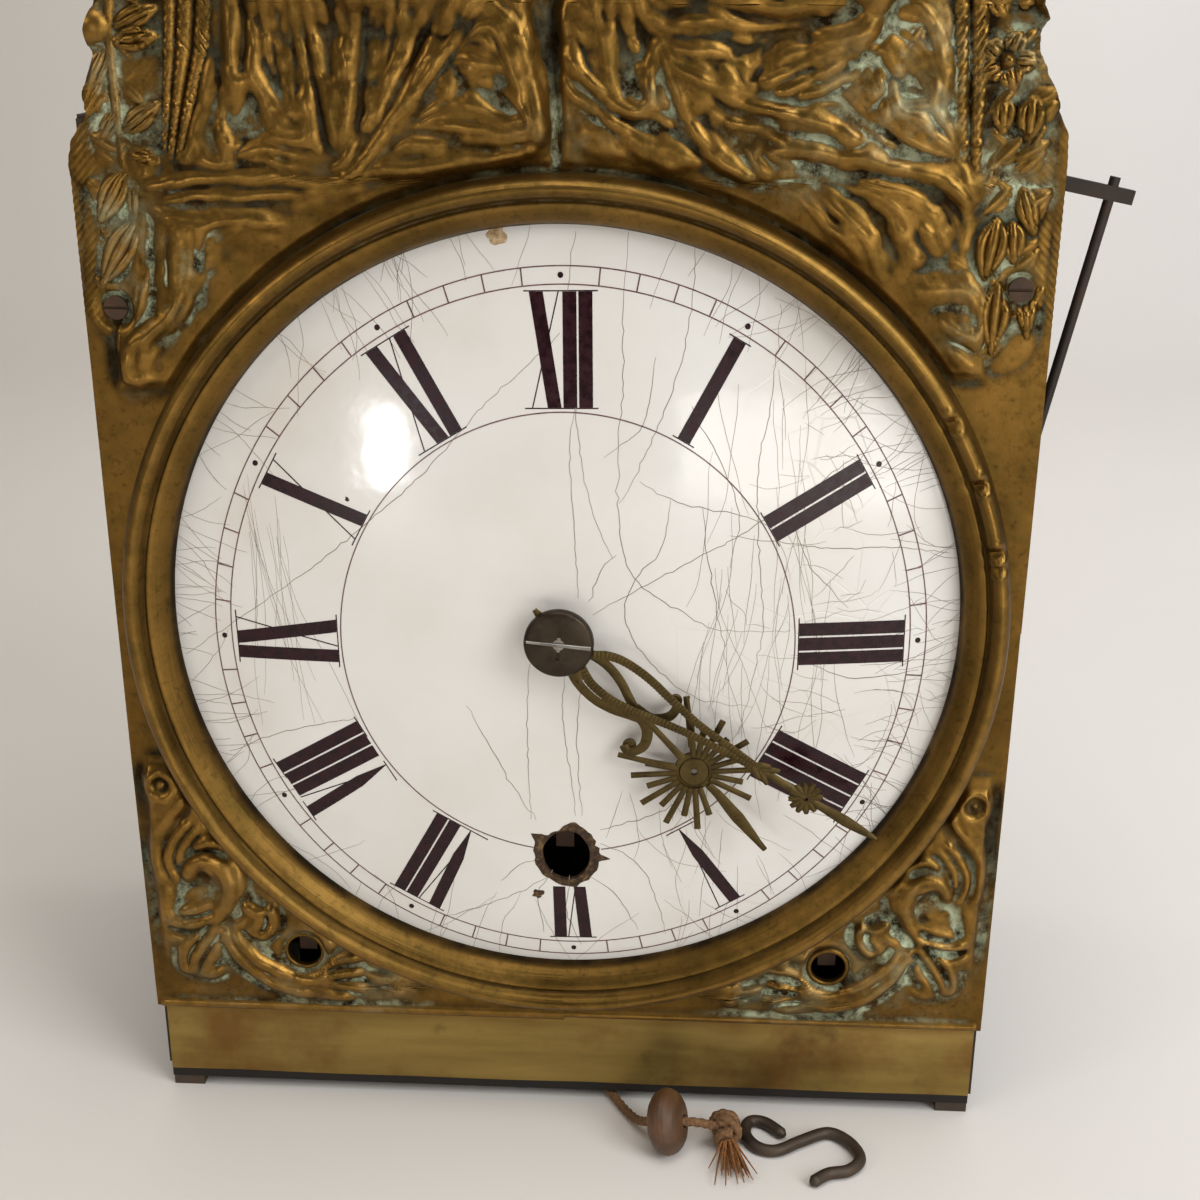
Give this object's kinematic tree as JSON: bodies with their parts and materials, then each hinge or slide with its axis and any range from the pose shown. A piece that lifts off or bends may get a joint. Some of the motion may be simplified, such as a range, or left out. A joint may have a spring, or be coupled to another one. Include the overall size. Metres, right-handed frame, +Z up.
{
  "type": "comtoise clock movement",
  "caption": "Weight-driven clock movement in an iron cage with a pressed brass front, domed enamel dial, hands, bells, strike-repeat lever and cord with hook.",
  "frame": {"origin": "on the table under the dial's arbor, in the plane of the front plate's flat face", "axes": "+Z up, +Y from the front to the back, +X to the viewer's right"},
  "size_m": [0.2955, 0.18, 0.4345],
  "materials": {
    "pressed_brass": "aged, patinated in the hollows",
    "apron_brass": "brushed, stained",
    "wrought_iron": "blackened",
    "black_sheet": "matt black",
    "steel": "satin",
    "dark_steel": "browned",
    "wheel_brass": "satin",
    "hand_brass": "gilt, worn",
    "bell_metal": "satin",
    "enamel": "glossy, crazed",
    "drum_wood": "turned",
    "button_wood": "polished",
    "cord": "twisted"
  },
  "bodies": {
    "case": {"front_plate": "pressed_brass", "plate_screws": "dark_steel", "apron": "apron_brass", "top_plate": "wrought_iron", "bottom_plate": "wrought_iron", "post_front_left": "wrought_iron", "post_front_right": "wrought_iron", "post_rear_left": "wrought_iron", "post_rear_right": "wrought_iron", "right_panel": "black_sheet", "back_plate": "black_sheet", "case_screws": "dark_steel", "hanging_hoop": "wrought_iron", "dial": "enamel", "dial_straps": "black_sheet", "left_bars": "steel", "centre_bars": "steel", "right_bars": "steel", "suspension_cock": "wheel_brass", "left_bell": "bell_metal", "right_bell": "bell_metal", "bell_posts": "wrought_iron", "weight_cord": "cord", "stop_button": "button_wood", "weight_hook": "dark_steel"},
    "door": {"left_door": "black_sheet"},
    "centre": {"centre_arbor": "steel", "centre_wheel": "wheel_brass", "cannon_pinion": "steel", "minute_hand": "hand_brass", "hand_nut": "dark_steel"},
    "going_barrel": {"going_arbor": "steel", "going_drum": "drum_wood", "going_great_wheel": "wheel_brass", "going_ratchet": "steel", "cord_winding": "cord"},
    "minute_work": {"minute_wheel": "wheel_brass"},
    "hour_work": {"hour_wheel": "wheel_brass", "hour_hand": "hand_brass"},
    "escape": {"escape_wheel": "wheel_brass"},
    "anchor": {"anchor": "steel", "crutch": "wrought_iron"},
    "repeat": {"repeat_lever": "black_sheet", "repeat_rod": "black_sheet"},
    "left_barrel": {"left_arbor": "steel", "left_drum": "drum_wood", "left_great_wheel": "wheel_brass", "left_ratchet": "steel"},
    "left_pins": {"left_pin_wheel": "wheel_brass"},
    "left_locking": {"left_locking_wheel": "wheel_brass"},
    "left_vane": {"left_fly": "wheel_brass"},
    "left_striker": {"left_hammer": "wrought_iron"},
    "right_barrel": {"right_arbor": "steel", "right_drum": "drum_wood", "right_great_wheel": "wheel_brass", "right_ratchet": "steel"},
    "right_pins": {"right_pin_wheel": "wheel_brass"},
    "right_locking": {"right_locking_wheel": "wheel_brass"},
    "right_vane": {"right_fly": "wheel_brass"},
    "right_striker": {"right_hammer": "wrought_iron"}
  },
  "joints": [
    {"name": "centre_turn", "type": "hinge", "parent": "case", "child": "centre", "pos_m": [0, 0, 0.17], "axis": [0, 1, 0], "continuous": true},
    {"name": "going_turn", "type": "hinge", "parent": "case", "child": "going_barrel", "pos_m": [0, 0, 0.096], "axis": [0, 1, 0], "continuous": true},
    {"name": "minute_turn", "type": "hinge", "parent": "case", "child": "minute_work", "pos_m": [0, 0, 0.1484], "axis": [0, 1, 0], "continuous": true},
    {"name": "hour_turn", "type": "hinge", "parent": "case", "child": "hour_work", "pos_m": [0, 0, 0.17], "axis": [0, 1, 0], "continuous": true},
    {"name": "escape_turn", "type": "hinge", "parent": "case", "child": "escape", "pos_m": [0, 0, 0.2228], "axis": [0, 1, 0], "continuous": true},
    {"name": "anchor_swing", "type": "hinge", "parent": "case", "child": "anchor", "pos_m": [0, 0, 0.2624], "axis": [0, 1, 0], "range_deg": [-4, 4]},
    {"name": "left_locking_turn", "type": "hinge", "parent": "case", "child": "left_locking", "pos_m": [-0.083, 0, 0.1423], "axis": [0, 1, 0], "continuous": true},
    {"name": "left_pin_turn", "type": "hinge", "parent": "case", "child": "left_pins", "pos_m": [-0.083, 0, 0.1043], "axis": [0, 1, 0], "continuous": true},
    {"name": "left_barrel_turn", "type": "hinge", "parent": "case", "child": "left_barrel", "pos_m": [-0.083, 0, 0.056], "axis": [0, 1, 0], "continuous": true},
    {"name": "left_fly_turn", "type": "hinge", "parent": "case", "child": "left_vane", "pos_m": [-0.083, 0, 0.1711], "axis": [0, 1, 0], "continuous": true},
    {"name": "left_hammer_swing", "type": "hinge", "parent": "case", "child": "left_striker", "pos_m": [-0.103, 0.1112, 0], "axis": [0, 0, 1], "range_deg": [0, 25]},
    {"name": "right_locking_turn", "type": "hinge", "parent": "case", "child": "right_locking", "pos_m": [0.083, 0, 0.1423], "axis": [0, 1, 0], "continuous": true},
    {"name": "right_pin_turn", "type": "hinge", "parent": "case", "child": "right_pins", "pos_m": [0.083, 0, 0.1043], "axis": [0, 1, 0], "continuous": true},
    {"name": "right_barrel_turn", "type": "hinge", "parent": "case", "child": "right_barrel", "pos_m": [0.083, 0, 0.056], "axis": [0, 1, 0], "continuous": true},
    {"name": "right_fly_turn", "type": "hinge", "parent": "case", "child": "right_vane", "pos_m": [0.083, 0, 0.1711], "axis": [0, 1, 0], "continuous": true},
    {"name": "right_hammer_swing", "type": "hinge", "parent": "case", "child": "right_striker", "pos_m": [0.103, 0.1112, 0], "axis": [0, 0, -1], "range_deg": [0, 25]},
    {"name": "door_swing", "type": "hinge", "parent": "case", "child": "door", "pos_m": [-0.1334, 0.138, 0], "axis": [0, 0, -1], "range_deg": [0, 100]},
    {"name": "repeat_swing", "type": "hinge", "parent": "case", "child": "repeat", "pos_m": [0.116, 0.028, 0.2984], "axis": [0, -1, 0], "range_deg": [0, 15]}
  ],
  "couplings": [
    {"joint": "going_turn", "follows": "centre_turn", "ratio": -0.083333},
    {"joint": "minute_turn", "follows": "centre_turn", "ratio": -0.33333},
    {"joint": "hour_turn", "follows": "centre_turn", "ratio": 0.083333},
    {"joint": "escape_turn", "follows": "centre_turn", "ratio": -10},
    {"joint": "left_pin_turn", "follows": "left_locking_turn", "ratio": -0.11111},
    {"joint": "left_barrel_turn", "follows": "left_locking_turn", "ratio": 0.010582},
    {"joint": "left_fly_turn", "follows": "left_locking_turn", "ratio": -8},
    {"joint": "right_pin_turn", "follows": "right_locking_turn", "ratio": -0.11111},
    {"joint": "right_barrel_turn", "follows": "right_locking_turn", "ratio": 0.010582},
    {"joint": "right_fly_turn", "follows": "right_locking_turn", "ratio": -8}
  ]
}
